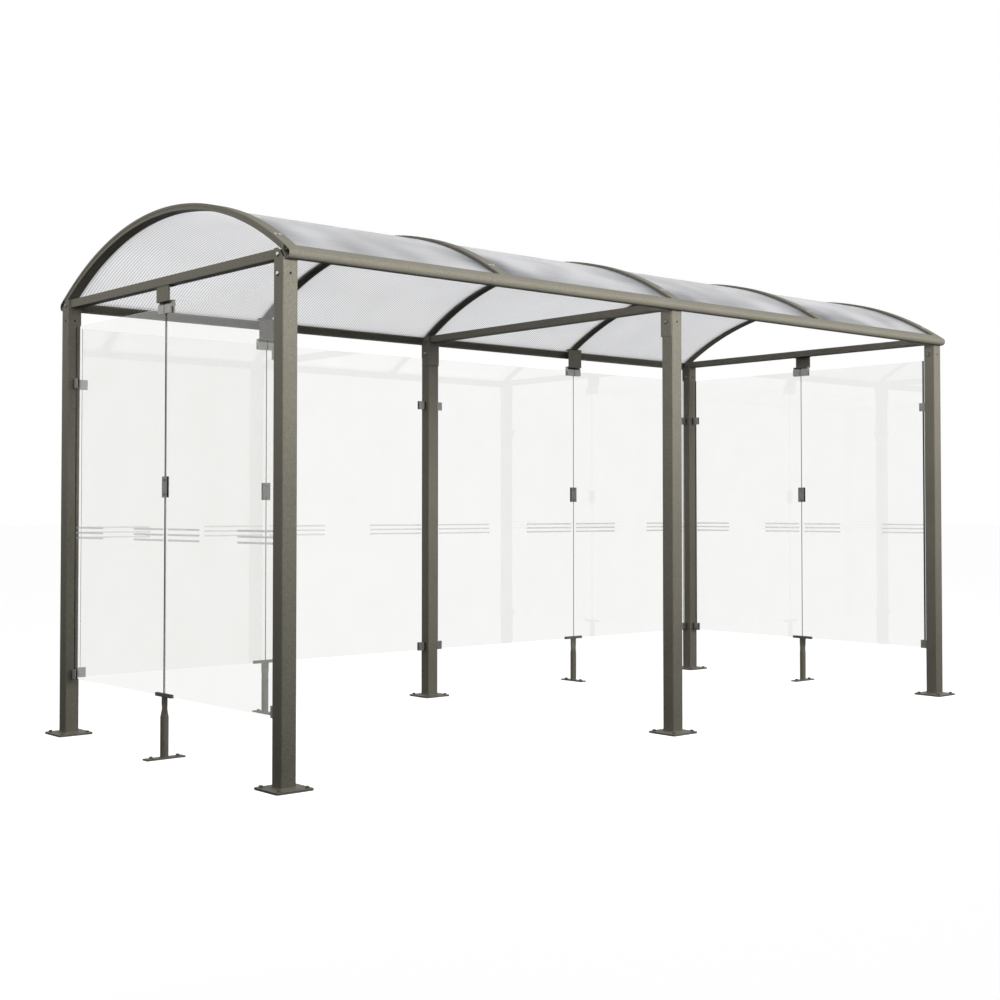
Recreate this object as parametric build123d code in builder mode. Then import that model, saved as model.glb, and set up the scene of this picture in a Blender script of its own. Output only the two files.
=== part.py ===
import os
from math import asin, cos, degrees, sin, sqrt

from build123d import *

os.makedirs("parts", exist_ok=True)

# Bike shelter, two bays long, open at the front. All sizes in millimetres.
# Origin: on the ground, midway between the end posts and midway between the
# front and back rows. +X runs along the shelter, -Y faces the open front.

# Plan of the frame, between post centres
left_bay = 2590.0
right_bay = 2650.0
row_spacing = 2220.0
glass_module = 1292.0

# Clearance between pieces that are seated on each other along curved faces
seat_clearance = 0.3

# Posts and their base plates
post_width = 80.0
post_corner = 6.0
post_inner_corner = 3.0
post_wall = 3.0
post_bevel_width = 45.0
post_bevel_drop = 48.7
base_plate_width = 200.0
base_plate_thickness = 10.0
base_plate_corner = 14.0
anchor_edge = 25.0
anchor_hole_radius = 7.0
post_hole_radius = 4.0
post_hole_below_top = 118.0

# Tie beams between the front and back posts
tie_height = 45.0
tie_width = 52.0
tie_wall = 3.0
saddle_thickness = 4.0
saddle_length = 202.0

# Roof arches: a wide cap on a narrower bar, with a groove for each roof sheet
arch_outer_radius = 2100.0
arch_crown = 2801.0
arch_depth = 32.0
arch_width = 65.0
arch_cap_lip = 3.0
arch_end_inset = 6.3
groove_depth = 18.0

# Roof sheets
sheet_thickness = 10.0
sheet_below_arch = 14.0
sheet_edge_play = 3.0

# Eave rails, with two screw ports inside for the end screws
nose_radius = 25.0
eave_band = 43.0
eave_wall = 3.0
port_radius = 6.5
port_bore = 3.0
port_opening = 3.0
port_above_nose = 12.0

# Glass panes
glass_thickness = 8.0
glass_bottom = 318.0
glass_joint = 6.0
glass_post_gap = 30.0

# Clamps between the glass and the posts, each a block on a narrower neck
clamp_height = 55.0
clamp_reach = 59.0
clamp_thickness = 22.0
clamp_neck_length = 14.0
clamp_neck_height = 42.0
clamp_neck_thickness = 14.0
clamp_above_glass_bottom = 23.0
clamp_below_glass_top = 319.0

# Hanger bracket and the pair of head clamps over each glass joint
end_hanger_length = 81.7
hanger_width = 124.0
hanger_thickness = 10.0
hanger_flange = 6.0
head_clamp_width = 62.0
head_clamp_thickness = 32.0
head_clamp_above = 28.0
head_clamp_below = 31.0
head_slope_height = 15.0
head_slope_depth = 9.0

# Clip around each glass joint, a little above the middle of the glass
clip_width = 48.0
clip_height = 105.0
clip_plate = 3.5
clip_above_middle = 72.0

# Feet under the glass joints
foot_tube_diameter = 42.4
foot_plate_length = 215.0
foot_plate_width = 50.0
foot_plate_thickness = 8.0
foot_hole_edge = 32.5
foot_hole_radius = 6.0
foot_neck_width = 52.0
foot_neck_thickness = 10.0
foot_neck_height = 35.0
foot_taper_height = 65.0
channel_length = 165.0
channel_width = 20.0
channel_floor = 6.0
channel_grip = 12.0

# Lines and levels that follow from the sizes above
frame_length = left_bay + right_bay
half_post = post_width / 2
x_left = -frame_length / 2
x_middle = x_left + left_bay
x_right = frame_length / 2
y_front = -row_spacing / 2
y_back = row_spacing / 2
x_joint_left = x_left + glass_module
x_joint_right = x_right - glass_module
tie_reach = y_back - half_post
post_outer_y = y_back + half_post
post_bevel_y = post_outer_y - post_bevel_width

arch_center_z = arch_crown - arch_outer_radius
arch_inner_radius = arch_outer_radius - arch_depth
sheet_outer_radius = arch_outer_radius - sheet_below_arch
sheet_inner_radius = sheet_outer_radius - sheet_thickness
foot_angle = asin((post_outer_y - arch_end_inset) / arch_outer_radius)
arch_half_angle = degrees(foot_angle - seat_clearance / arch_inner_radius)


def arch_soffit(y):
    """Height of the underside of the arches at the distance y from the middle."""
    return arch_center_z + sqrt(arch_inner_radius**2 - y**2)


post_height = arch_soffit(post_bevel_y) - seat_clearance
bevel_low = post_height - post_bevel_drop
tie_bottom = post_height - tie_height
hanger_bottom = tie_bottom - end_hanger_length
glass_top = hanger_bottom - head_clamp_above
glass_height = glass_top - glass_bottom
glass_slot = glass_thickness + 2 * seat_clearance

# Each glass joint: its place, and the direction in which its glass runs. The
# hanger stands to the left of that direction: outside an end wall, but inside
# the back wall.
joints = {
    "left_end": (x_left, 0.0, (0, 1, 0)),
    "back_left": (x_joint_left, y_back, (-1, 0, 0)),
    "back_right": (x_joint_right, y_back, (-1, 0, 0)),
    "right_end": (x_right, 0.0, (0, -1, 0)),
}


def save(part, name):
    """Label one finished piece and write its STEP file."""
    part.label = name
    export_step(part, f"parts/{name}.step")


def glass_line(x, y, z, direction):
    """Level plane at a height, with its X axis along a line of glass."""
    return Plane((x, y, z), x_dir=direction, z_dir=(0, 0, 1))


def across_glass(x, y, z, direction):
    """Upright plane across a line of glass, with its Y axis upwards."""
    return Plane((x, y, z), x_dir=(-direction[1], direction[0], 0), z_dir=direction)


def cut_bevel(x, side, width):
    """Cut the outer corner off the top of whatever stands at a post."""
    slope = post_bevel_drop / post_bevel_width
    beyond = post_outer_y + post_width
    above = post_height + post_width
    with BuildSketch(Plane.YZ.offset(x - width)) as corner:
        Polygon(
            (side * post_bevel_y, post_height),
            (side * beyond, post_height - slope * (beyond - post_bevel_y)),
            (side * beyond, above),
            (side * post_bevel_y, above),
            align=None,
        )
    extrude(corner.sketch, amount=2 * width, mode=Mode.SUBTRACT)


# Posts: a square tube on its base plate, bevelled at the top under the eave
posts = {
    "post_front_left": (x_left, y_front),
    "post_front_middle": (x_middle, y_front),
    "post_front_right": (x_right, y_front),
    "post_back_left": (x_left, y_back),
    "post_back_middle": (x_middle, y_back),
    "post_back_right": (x_right, y_back),
}
anchor_spacing = base_plate_width - 2 * anchor_edge
post_bore = post_width - 2 * post_wall
for name, (x, y) in posts.items():
    with BuildPart() as post:
        with BuildSketch(Plane((x, y, 0))):
            RectangleRounded(base_plate_width, base_plate_width, base_plate_corner)
            with GridLocations(anchor_spacing, anchor_spacing, 2, 2):
                Circle(anchor_hole_radius, mode=Mode.SUBTRACT)
        extrude(amount=base_plate_thickness)
        with BuildSketch(Plane((x, y, base_plate_thickness))):
            RectangleRounded(post_width, post_width, post_corner)
            RectangleRounded(post_bore, post_bore, post_inner_corner, mode=Mode.SUBTRACT)
        extrude(amount=post_height - base_plate_thickness)
        cut_bevel(x, 1 if y > 0 else -1, post_width)
        hole_height = post_height - post_hole_below_top
        with BuildSketch(Plane((x, y - half_post, hole_height), z_dir=(0, -1, 0))):
            Circle(post_hole_radius)
        extrude(amount=-2 * post_wall, mode=Mode.SUBTRACT)
    save(post.part, name)


# Tie beams: the end ones butt against the posts
def tie_tube(x, reach):
    """Make a tie tube that reaches equally far to the front and the back."""
    with BuildSketch(Plane.XZ.offset(-reach)) as section:
        with Locations((x, tie_bottom + tie_height / 2)):
            Rectangle(tie_width, tie_height)
            Rectangle(tie_width - 2 * tie_wall, tie_height - 2 * tie_wall, mode=Mode.SUBTRACT)
    extrude(section.sketch, amount=2 * reach)


for name, x in (("tie_beam_left", x_left), ("tie_beam_right", x_right)):
    with BuildPart() as tie:
        tie_tube(x, tie_reach)
    save(tie.part, name)

# The middle tie beam ends in two saddles that hold the posts on three sides
saddle_bore = post_width + 2 * seat_clearance
saddle_width = saddle_bore + 2 * saddle_thickness
saddle_back = tie_reach - seat_clearance - saddle_thickness
saddle_cheek = post_outer_y - post_corner - saddle_back
with BuildPart() as tie_middle:
    tie_tube(x_middle, saddle_back)
    for side in (-1, 1):
        with BuildSketch(Plane.XY.offset(post_height - saddle_length)):
            with Locations((x_middle, side * (saddle_back + saddle_cheek / 2))):
                Rectangle(saddle_width, saddle_cheek)
            with Locations((x_middle, side * (saddle_back + saddle_thickness + saddle_cheek / 2))):
                Rectangle(saddle_bore, saddle_cheek, mode=Mode.SUBTRACT)
        extrude(amount=saddle_length)
        cut_bevel(x_middle, side, saddle_width)
save(tie_middle.part, "tie_beam_middle")


# Arches and roof sheets: bands about one centre line along the shelter
def arch_band(outer, inner, half_angle):
    """Draw the band between two radii about the arch centre."""
    start = 90 - half_angle
    with BuildLine() as outline:
        top = CenterArc((0, arch_center_z), outer, start, 2 * half_angle)
        bottom = CenterArc((0, arch_center_z), inner, start, 2 * half_angle)
        Line(top @ 0, bottom @ 0)
        Line(top @ 1, bottom @ 1)
    make_face(outline.edges())


def cut_side(face_x, inward, outer, inner, depth):
    """Cut a band between two radii into one side of an arch."""
    with BuildSketch(Plane.YZ.offset(face_x)) as band:
        arch_band(outer, inner, arch_half_angle + 1)
    extrude(band.sketch, amount=inward * depth, mode=Mode.SUBTRACT)


arches = {
    "arch_left_end": x_left,
    "arch_left_bay": x_joint_left,
    "arch_middle": x_middle,
    "arch_right_bay": x_joint_right,
    "arch_right_end": x_right,
}
groove_outer = sheet_outer_radius + seat_clearance
groove_inner = sheet_inner_radius - seat_clearance
for name, x in arches.items():
    with BuildPart() as arch:
        with BuildSketch(Plane.YZ.offset(x - arch_width / 2)):
            arch_band(arch_outer_radius, arch_inner_radius, arch_half_angle)
        extrude(amount=arch_width)
        for side in (-1, 1):
            face_x = x + side * arch_width / 2
            cut_side(face_x, -side, groove_outer, arch_inner_radius - arch_depth, arch_cap_lip)
            if x_left < face_x < x_right:
                cut_side(face_x, -side, groove_outer, groove_inner, groove_depth)
    save(arch.part, name)

sheet_edge = arch_width / 2 - groove_depth + sheet_edge_play
arch_lines = list(arches.values())
sheet_names = ("left_outer", "left_inner", "right_inner", "right_outer")
for name, start, end in zip(sheet_names, arch_lines[:-1], arch_lines[1:]):
    with BuildPart() as sheet:
        with BuildSketch(Plane.YZ.offset(start + sheet_edge)):
            arch_band(sheet_outer_radius, sheet_inner_radius, arch_half_angle)
        extrude(amount=end - start - 2 * sheet_edge)
    save(sheet.part, f"roof_sheet_{name}")

# Eave rails: a hollow section with a round nose, seated on the posts and arches
lip_top = (arch_outer_radius * sin(foot_angle), arch_center_z + arch_outer_radius * cos(foot_angle))
lip_foot = (arch_inner_radius * sin(foot_angle), arch_center_z + arch_inner_radius * cos(foot_angle))
nose_center = (
    lip_top[0] + eave_band * cos(foot_angle) - nose_radius * sin(foot_angle),
    lip_top[1] - eave_band * sin(foot_angle) - nose_radius * cos(foot_angle),
)
eave_foot_y = post_outer_y + seat_clearance
nose_start = 90 - degrees(foot_angle)
port_reach = nose_radius - eave_wall / 2 - port_radius
upper_port = (
    nose_center[0] + port_reach * sin(foot_angle) - port_above_nose * cos(foot_angle),
    nose_center[1] + port_reach * cos(foot_angle) + port_above_nose * sin(foot_angle),
)
lower_port = (nose_center[0], nose_center[1] - port_reach)
eave_length = frame_length + arch_width
with BuildPart() as eave_back:
    with BuildSketch(Plane.YZ.offset(-eave_length / 2)):
        with BuildLine():
            nose = CenterArc(nose_center, nose_radius, nose_start, -90 - nose_start)
            Polyline(
                nose @ 1,
                (eave_foot_y, nose_center[1] - nose_radius),
                (eave_foot_y, bevel_low),
                lip_foot,
                lip_top,
                nose @ 0,
            )
        make_face()
        offset(amount=-eave_wall, kind=Kind.INTERSECTION, mode=Mode.SUBTRACT)
        for port, opening_side in ((upper_port, Align.MAX), (lower_port, Align.MIN)):
            with Locations(port):
                Circle(port_radius)
                Circle(port_bore, mode=Mode.SUBTRACT)
                Rectangle(
                    port_opening,
                    port_radius + port_bore,
                    align=(Align.CENTER, opening_side),
                    mode=Mode.SUBTRACT,
                )
    extrude(amount=eave_length)
save(eave_back.part, "eave_back")

with BuildPart() as eave_front:
    mirror(eave_back.part, about=Plane.XZ)
save(eave_front.part, "eave_front")

# Glass panes: two in each end wall, two in each bay of the back wall
pane_start = half_post + glass_post_gap
half_joint = glass_joint / 2
end_pane = (half_joint, tie_reach - glass_post_gap)
panes = {
    "glass_left_end_front": (x_left, 0.0, (0, -1, 0), *end_pane),
    "glass_left_end_back": (x_left, 0.0, (0, 1, 0), *end_pane),
    "glass_right_end_front": (x_right, 0.0, (0, -1, 0), *end_pane),
    "glass_right_end_back": (x_right, 0.0, (0, 1, 0), *end_pane),
    "glass_back_1": (x_left, y_back, (1, 0, 0), pane_start, glass_module - half_joint),
    "glass_back_2": (
        x_left, y_back, (1, 0, 0), glass_module + half_joint, left_bay - pane_start
    ),
    "glass_back_3": (
        x_right, y_back, (-1, 0, 0), glass_module + half_joint, right_bay - pane_start
    ),
    "glass_back_4": (x_right, y_back, (-1, 0, 0), pane_start, glass_module - half_joint),
}
for name, (x, y, direction, start, end) in panes.items():
    with BuildPart() as pane:
        with BuildSketch(glass_line(x, y, glass_bottom, direction)):
            with Locations((start, 0)):
                Rectangle(end - start, glass_thickness, align=(Align.MIN, Align.CENTER))
        extrude(amount=glass_height)
    save(pane.part, name)

# Post clamps: slotted blocks, four to a wall, two low and two high
clamp_walls = {
    "post_clamps_left_end": ((x_left, y_front, (0, 1, 0)), (x_left, y_back, (0, -1, 0))),
    "post_clamps_back_left": ((x_left, y_back, (1, 0, 0)), (x_middle, y_back, (-1, 0, 0))),
    "post_clamps_back_right": ((x_middle, y_back, (1, 0, 0)), (x_right, y_back, (-1, 0, 0))),
    "post_clamps_right_end": ((x_right, y_front, (0, 1, 0)), (x_right, y_back, (0, -1, 0))),
}
clamp_levels = (glass_bottom + clamp_above_glass_bottom, glass_top - clamp_below_glass_top)
clamp_block = clamp_reach - clamp_neck_length
from_edge = (Align.MIN, Align.CENTER)
for name, ends in clamp_walls.items():
    with BuildPart() as clamps:
        for x, y, direction in ends:
            for level in clamp_levels:
                with BuildSketch(glass_line(x, y, level - clamp_neck_height / 2, direction)):
                    with Locations((half_post, 0)):
                        Rectangle(clamp_neck_length, clamp_neck_thickness, align=from_edge)
                extrude(amount=clamp_neck_height)
                with BuildSketch(glass_line(x, y, level - clamp_height / 2, direction)):
                    with Locations((half_post + clamp_neck_length, 0)):
                        Rectangle(clamp_block, clamp_thickness, align=from_edge)
                    with Locations((pane_start - seat_clearance, 0)):
                        Rectangle(clamp_reach, glass_slot, align=from_edge, mode=Mode.SUBTRACT)
                extrude(amount=clamp_height)
    save(clamps.part, name)

# Hangers, head clamps and feet at the glass joints
half_head = head_clamp_thickness / 2
head_clamp_bottom = glass_top - head_clamp_below
head_clamp_height = head_clamp_below + head_clamp_above
head_clamp_end = half_joint + head_clamp_width
head_slope_foot = hanger_bottom - head_slope_height
hanger_face = tie_width / 2
hanger_back = hanger_face - hanger_thickness
flange_depth = hanger_face + half_head
channel_bottom = glass_bottom - channel_floor
neck_bottom = channel_bottom - foot_neck_height
taper_bottom = neck_bottom - foot_taper_height
foot_hole_spacing = foot_plate_length - 2 * foot_hole_edge
back_hanger_top = arch_soffit(y_back - hanger_back) - seat_clearance
to_back = (Align.CENTER, Align.MAX)
for name, (x, y, direction) in joints.items():
    hanger_top = back_hanger_top if y > 0 else tie_bottom
    with BuildPart() as hanger:
        for depth, top in ((hanger_thickness, hanger_top), (flange_depth, hanger_bottom + hanger_flange)):
            with BuildSketch(glass_line(x, y, hanger_bottom, direction)):
                with Locations((0, hanger_face)):
                    Rectangle(hanger_width, depth, align=to_back)
            extrude(amount=top - hanger_bottom)
    save(hanger.part, f"hanger_{name}")

    with BuildPart() as head_clamps:
        with BuildSketch(across_glass(x, y, 0, direction)):
            Polygon(
                (-half_head, head_clamp_bottom),
                (half_head, head_clamp_bottom),
                (half_head, head_slope_foot),
                (half_head - head_slope_depth, hanger_bottom),
                (head_slope_depth - half_head, hanger_bottom),
                (-half_head, head_slope_foot),
                align=None,
            )
        extrude(amount=head_clamp_end, both=True)
        with BuildSketch(glass_line(x, y, head_clamp_bottom, direction)):
            Rectangle(glass_joint, head_clamp_thickness)
        extrude(amount=head_clamp_height, mode=Mode.SUBTRACT)
        with BuildSketch(glass_line(x, y, head_clamp_bottom, direction)):
            Rectangle(2 * head_clamp_end, glass_slot)
        extrude(amount=head_clamp_below, mode=Mode.SUBTRACT)
    save(head_clamps.part, f"head_clamps_{name}")

    with BuildPart() as foot:
        with BuildSketch(glass_line(x, y, 0, direction)):
            Rectangle(foot_plate_width, foot_plate_length)
            with GridLocations(0, foot_hole_spacing, 1, 2):
                Circle(foot_hole_radius, mode=Mode.SUBTRACT)
        extrude(amount=foot_plate_thickness)
        with BuildSketch(glass_line(x, y, foot_plate_thickness, direction)):
            Circle(foot_tube_diameter / 2)
        extrude(amount=taper_bottom - foot_plate_thickness)
        with BuildSketch(glass_line(x, y, taper_bottom, direction)):
            Circle(foot_tube_diameter / 2)
        with BuildSketch(glass_line(x, y, neck_bottom, direction)):
            SlotOverall(foot_neck_width, foot_neck_thickness)
        loft()
        with BuildSketch(glass_line(x, y, neck_bottom, direction)):
            SlotOverall(foot_neck_width, foot_neck_thickness)
        extrude(amount=foot_neck_height)
        with BuildSketch(glass_line(x, y, channel_bottom, direction)):
            Rectangle(channel_length, channel_width)
        extrude(amount=channel_floor + channel_grip)
        with BuildSketch(glass_line(x, y, glass_bottom, direction)):
            Rectangle(2 * channel_length, glass_slot)
        extrude(amount=channel_grip, mode=Mode.SUBTRACT)
    save(foot.part, f"foot_{name}")

# Joint clips: two plates on either side of the glass with a web in the joint
clip_bottom = glass_bottom + glass_height / 2 + clip_above_middle - clip_height / 2
clip_offset = glass_thickness / 2 + seat_clearance + clip_plate / 2
with BuildPart() as clips:
    for x, y, direction in joints.values():
        with BuildSketch(glass_line(x, y, clip_bottom, direction)):
            with GridLocations(0, 2 * clip_offset, 1, 2):
                Rectangle(clip_width, clip_plate)
            Rectangle(glass_joint - 2 * seat_clearance, 2 * clip_offset)
        extrude(amount=clip_height)
save(clips.part, "joint_clips")
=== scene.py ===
"""Looks of the open-front bike shelter: finishes, fixings, seals, printed lines and studio."""

import logging
import math
from dataclasses import dataclass
from enum import Enum
from typing import Any

import bmesh
import bpy
from mathutils import Matrix, Vector


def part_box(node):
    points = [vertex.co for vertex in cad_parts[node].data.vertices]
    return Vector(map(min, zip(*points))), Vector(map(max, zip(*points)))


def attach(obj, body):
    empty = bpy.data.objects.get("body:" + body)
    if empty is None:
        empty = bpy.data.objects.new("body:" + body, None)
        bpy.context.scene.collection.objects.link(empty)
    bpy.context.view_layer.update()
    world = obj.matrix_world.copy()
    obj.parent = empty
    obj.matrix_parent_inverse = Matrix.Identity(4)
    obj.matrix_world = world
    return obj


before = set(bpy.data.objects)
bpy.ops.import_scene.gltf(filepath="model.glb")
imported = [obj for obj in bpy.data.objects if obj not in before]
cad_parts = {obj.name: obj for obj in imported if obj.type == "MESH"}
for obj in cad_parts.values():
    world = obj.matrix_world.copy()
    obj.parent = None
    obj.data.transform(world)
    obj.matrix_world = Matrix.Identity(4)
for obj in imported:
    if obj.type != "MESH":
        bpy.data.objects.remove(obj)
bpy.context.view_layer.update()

MM = 0.001
BODY = "root"
UP = Vector((0.0, 0.0, 1.0))
Tree = bpy.types.NodeTree
Node = bpy.types.Node
Socket = bpy.types.NodeSocket
log = logging.getLogger("shelter")


class Slot(Enum):
    """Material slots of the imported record."""

    FRAME = "frame"
    ROOF_SHEET = "roof_sheet"
    GLASS = "glass"
    FITTINGS = "fittings"


def linear(hex_colour: str) -> tuple[float, float, float, float]:
    """Turn an sRGB hex colour into the linear colour that shaders take.

    Args:
        hex_colour: Colour such as "#8F8A80".

    Returns:
        Red, green and blue, and an alpha of 1.
    """
    shares = [int(hex_colour[i:i + 2], 16) / 255 for i in (1, 3, 5)]
    red, green, blue = (s / 12.92 if s <= 0.04045 else ((s + 0.055) / 1.055) ** 2.4 for s in shares)
    return red, green, blue, 1.0


WHITE = linear("#FFFFFF")


def add_node(
    tree: Tree,
    kind: str,
    settings: dict[str | int, Any] | None = None,
    links: dict[str | int, Node | Socket] | None = None,
) -> Node:
    """Add one node with its settings and its incoming links.

    Args:
        tree: Node tree that gets the node.
        kind: Blender's name of the node's type, without "ShaderNode" before it.
        settings: Values by property name, or by input name or number.
        links: Sockets to link from, by input name or number. A node stands for its first output.

    Returns:
        The new node.
    """
    node = tree.nodes.new(f"ShaderNode{kind}")
    for key, value in (settings or {}).items():
        if isinstance(key, str) and hasattr(node, key):
            setattr(node, key, value)
        else:
            node.inputs[key].default_value = value
    for key, source in (links or {}).items():
        socket = source.outputs[0] if isinstance(source, Node) else source
        tree.links.new(socket, node.inputs[key])
    return node


def empty_tree(owner: bpy.types.Material | bpy.types.World) -> Tree:
    """Give a material or a world a node tree, and return it without nodes."""
    owner.use_nodes = True
    owner.node_tree.nodes.clear()
    return owner.node_tree


@dataclass(frozen=True)
class Finish:
    """A surface finish, which makes its node material once."""

    name: str

    def material(self) -> bpy.types.Material:
        """Return this finish's material, made on first use."""
        found = bpy.data.materials.get(self.name)
        if found:
            return found
        made = bpy.data.materials.new(self.name)
        tree = empty_tree(made)
        add_node(tree, "OutputMaterial", links={"Surface": self.surface(tree)})
        return made

    def surface(self, tree: Tree) -> Node:
        """Build the nodes of the finish.

        Args:
            tree: Node tree of the material.

        Returns:
            The node of the finished shader.
        """
        raise NotImplementedError


@dataclass(frozen=True)
class PowderCoat(Finish):
    """Fine-textured polyester powder coat, sprayed on and baked.

    The grit gives a dry, slightly sparkling bronze grey with no clear
    reflections. Its real grain of about 1 mm is drawn at 4 mm, because a finer
    one would vanish at the size of the whole shelter.
    """

    name: str = "powder_coat_bronze_grey"
    tone: str = "#6E6B60"
    light_grain: str = "#848176"
    dark_grain: str = "#57554B"
    grain_mm: float = 4.0
    cloud_mm: float = 350.0
    relief_mm: float = 0.4
    roughness: float = 0.55
    specular: float = 0.25

    def surface(self, tree: Tree) -> Node:
        """Mix light and dark grit into the tone, and raise it as a fine bump."""
        place = add_node(tree, "TexCoord").outputs["Object"]
        fine = {"Scale": 1 / (self.grain_mm * MM), "Detail": 3.0, "Roughness": 0.7}
        grain = add_node(tree, "TexNoise", fine, {"Vector": place})
        broad = {"Scale": 1 / (self.cloud_mm * MM), "Detail": 2.0}
        cloud = add_node(tree, "TexNoise", broad, {"Vector": place})
        light = add_node(tree, "MapRange", {"From Min": 0.5, "From Max": 0.75}, {"Value": grain})
        dark = add_node(tree, "MapRange", {"From Min": 0.5, "From Max": 0.28}, {"Value": grain})
        tones = {"data_type": "RGBA", 6: linear(self.tone), 7: linear(self.light_grain)}
        lit = add_node(tree, "Mix", tones, {"Factor": light})
        deepest = {"data_type": "RGBA", 7: linear(self.dark_grain)}
        gritty = add_node(tree, "Mix", deepest, {"Factor": dark, 6: lit.outputs[2]})
        shade = add_node(tree, "MapRange", {"To Min": 0.9, "To Max": 1.1}, {"Value": cloud})
        coat = add_node(tree, "VectorMath", {"operation": "SCALE"}, {0: gritty.outputs[2], "Scale": shade})
        gloss = {"To Min": self.roughness - 0.08, "To Max": self.roughness + 0.12}
        rough = add_node(tree, "MapRange", gloss, {"Value": grain})
        relief = {"Strength": 0.35, "Distance": self.relief_mm * MM}
        bump = add_node(tree, "Bump", relief, {"Height": grain})
        return add_node(
            tree, "BsdfPrincipled", {"IOR": 1.5, "Specular IOR Level": self.specular},
            {"Base Color": coat, "Roughness": rough, "Normal": bump},
        )


@dataclass(frozen=True)
class OpalMultiwall(Finish):
    """Extruded twin-wall polycarbonate sheet with ribs that run over the curve.

    It lets light through without a clear view, so it glows evenly from below.
    From above it looks cool grey with fine lines where the inner ribs stand. A dark painted shade lies over
    its outer face beside the arches and low on the slopes, and thins towards the crown, so the crown looks
    paler.
    The ribs are drawn 18 mm apart, as the lines in the photograph are, which is
    coarser than in a real sheet of 10 mm.
    """

    name: str = "multiwall_polycarbonate_opal"
    body: str = "#FDFDFE"
    rib: str = "#BEC0C5"
    rib_pitch_mm: float = 18.0
    rib_width: float = 0.3
    opal_share: float = 0.6
    # Painted shade on the outer face: its colour, and how far it reaches from each arch
    smudge_mm: float = 420.0
    shade_tone: str = "#4E5056"
    arch_spacing_mm: float = 1312.0
    arch_shade_reach_mm: float = 330.0
    specular: float = 0.3

    def surface(self, tree: Tree) -> Node:
        """Draw the ribs by the place along the shelter, and let light through.

        The skin that light enters by takes the colour, and the far skin adds
        none, so that the ribs of both don't blur each other out. The underside
        scatters most of the light, and the upper side keeps more of its gloss.
        """
        place = add_node(tree, "TexCoord").outputs["Object"]
        along = add_node(tree, "SeparateXYZ", links={"Vector": place}).outputs["X"]
        face = add_node(tree, "NewGeometry").outputs
        up = add_node(tree, "SeparateXYZ", links={"Vector": face["True Normal"]}).outputs["Z"]
        upper = add_node(tree, "Math", {"operation": "GREATER_THAN", 1: 0.0}, {0: up})
        rib = self.ribs(tree, along)
        broad = {"Scale": 1 / (self.smudge_mm * MM), "Detail": 1.0}
        cloud = add_node(tree, "TexNoise", broad, {"Vector": place})
        span = {"From Min": 0.35, "From Max": 0.62, "To Min": 0.95, "To Max": 1.0}
        shade = add_node(tree, "MapRange", span, {"Value": cloud})
        tones = {"data_type": "RGBA", 6: linear(self.body), 7: linear(self.rib)}
        colour = add_node(tree, "Mix", tones, {"Factor": rib}).outputs[2]
        shaded = add_node(tree, "VectorMath", {"operation": "SCALE"}, {0: colour, "Scale": shade})
        once = add_node(
            tree, "Mix", {"data_type": "RGBA", 7: WHITE}, {"Factor": face["Backfacing"], 6: shaded}
        ).outputs[2]
        bump = add_node(tree, "Bump", {"Strength": 0.25, "Distance": 0.5 * MM}, {"Height": rib})
        skin = add_node(
            tree, "BsdfPrincipled",
            {"IOR": 1.58, "Roughness": 0.36, "Transmission Weight": 1.0, "Specular IOR Level": self.specular},
            {"Base Color": once, "Normal": bump},
        )
        haze = add_node(tree, "BsdfTranslucent", links={"Color": once})
        below = add_node(tree, "MapRange", {"To Min": self.opal_share, "To Max": 0.0}, {"Value": upper})
        opal = add_node(tree, "MixShader", links={0: below, 1: skin, 2: haze})
        # Painted shade: a dark skin over the outer face, darkest beside the arches and low on the slopes,
        # thinning towards the crown
        shade_skin = add_node(
            tree, "BsdfPrincipled", {"Base Color": linear(self.shade_tone), "IOR": 1.5, "Roughness": 0.8},
            {"Normal": bump},
        )
        outside = add_node(
            tree, "Math", {"operation": "SUBTRACT", "use_clamp": True}, {0: upper, 1: face["Backfacing"]}
        )
        share = self.arch_shade(tree, along, cloud, up)
        outer_shade = add_node(tree, "Math", {"operation": "MULTIPLY"}, {0: share, 1: outside})
        return add_node(tree, "MixShader", links={0: outer_shade, 1: opal, 2: shade_skin})

    def ribs(self, tree: Tree, along: Socket) -> Node:
        """Return how near the middle of a rib a place is, with 1 at its middle.

        Args:
            tree: Node tree of the material.
            along: Place along the shelter in metres.

        Returns:
            The node with a value from 0 to 1.
        """
        count = add_node(tree, "Math", {"operation": "DIVIDE", 1: self.rib_pitch_mm * MM}, {0: along})
        to_rib = add_node(tree, "Math", {"operation": "PINGPONG", 1: 0.5}, {0: count})
        edge = {"interpolation_type": "SMOOTHSTEP", "From Min": self.rib_width, "From Max": 0.0}
        return add_node(tree, "MapRange", edge, {"Value": to_rib})

    def arch_shade(self, tree: Tree, along: Socket, cloud: Node, up: Socket) -> Node:
        """Return how much painted shade lies on the outer face at a place: most beside the arches and low
        down.

        Args:
            tree: Node tree of the material.
            along: Place along the shelter in metres.
            cloud: Noise that breaks the painted shade up.
            up: How level the sheet lies there, with 1 at the crown.

        Returns:
            The node with the amount of painted shade, from 0 to 1.
        """
        half = self.arch_spacing_mm / 2 * MM
        to_arch = add_node(tree, "Math", {"operation": "PINGPONG", 1: half}, {0: along})
        reach = {"interpolation_type": "SMOOTHSTEP", "From Min": self.arch_shade_reach_mm * MM, "From Max": 0.0}
        beside = add_node(tree, "MapRange", reach | {"To Min": 0.5, "To Max": 0.72}, {"Value": to_arch})
        patches = {"From Min": 0.36, "From Max": 0.6, "To Min": 0.7, "To Max": 1.2}
        broken = add_node(tree, "MapRange", patches, {"Value": cloud})
        slope = {"From Min": 0.86, "From Max": 1.0, "To Min": 1.15, "To Max": 0.35}
        lower = add_node(tree, "MapRange", slope, {"Value": up})
        patchy = add_node(tree, "Math", {"operation": "MULTIPLY"}, {0: beside, 1: broken})
        return add_node(tree, "Math", {"operation": "MULTIPLY", "use_clamp": True}, {0: patchy, 1: lower})


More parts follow.
